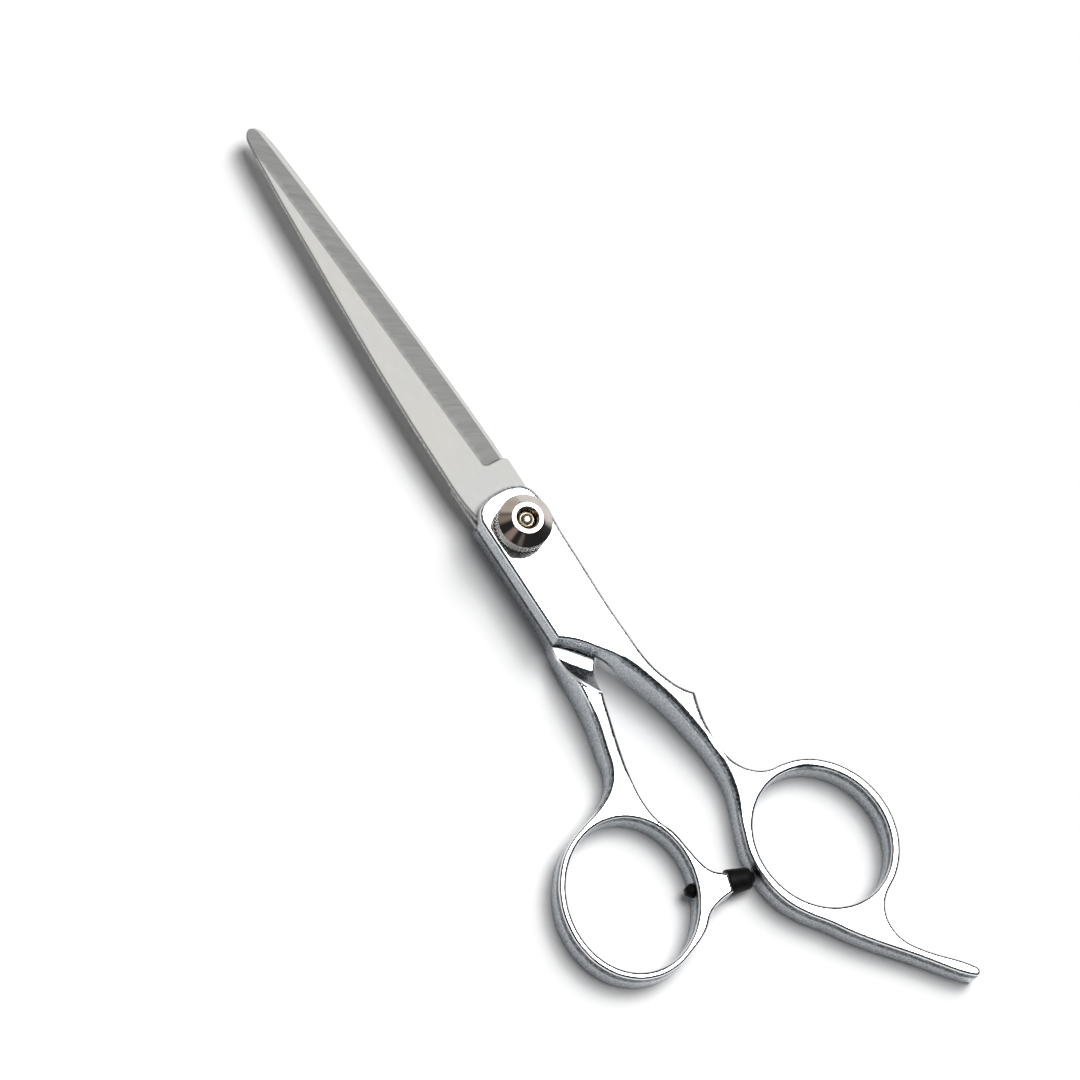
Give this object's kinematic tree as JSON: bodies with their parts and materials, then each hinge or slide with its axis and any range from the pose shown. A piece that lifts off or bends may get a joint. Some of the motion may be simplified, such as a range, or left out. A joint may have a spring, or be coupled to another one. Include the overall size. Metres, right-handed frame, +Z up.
{
  "type": "hair cutting shears",
  "caption": "Hair cutting shears with offset handles, a finger rest, a knurled tension nut on the pivot and a rubber bumper that stops the handles.",
  "frame": {"origin": "middle of the flat underside of the pivot stud's head, on the pivot's axis, level with the surface the shears lie on", "axes": "+Z up along the pivot towards the tension nut, +Y from the pivot to the blade tips, +X to the side of the upper handle's ring"},
  "size_m": [0.056, 0.1733, 0.0133],
  "materials": {
    "blade_steel": "fine cross ground",
    "plated_casting": "polished faces, fine cast texture on the walls",
    "stud_metal": "nickel plated brass",
    "dark_nickel": "polished dark nickel",
    "spring_steel": "satin",
    "nylon": "natural",
    "black_rubber": "matt"
  },
  "bodies": {
    "lower": {"lower_blade": "blade_steel", "lower_handle": "plated_casting", "pivot_stud": "stud_metal", "wave_washer": "spring_steel", "friction_washer": "nylon", "rubber_bumper": "black_rubber"},
    "upper": {"upper_blade": "blade_steel", "upper_handle": "plated_casting"},
    "nut": {"tension_nut": "dark_nickel"}
  },
  "joints": [
    {"name": "shears_pivot", "type": "hinge", "parent": "lower", "child": "upper", "pos_m": [0, 0, 0.00445], "axis": [0, 0, 1], "range_deg": [0, 60]},
    {"name": "tension_nut_turn", "type": "hinge", "parent": "lower", "child": "nut", "pos_m": [0, 0, 0.011], "axis": [0, 0, 1], "range_deg": [-90, 90]}
  ]
}
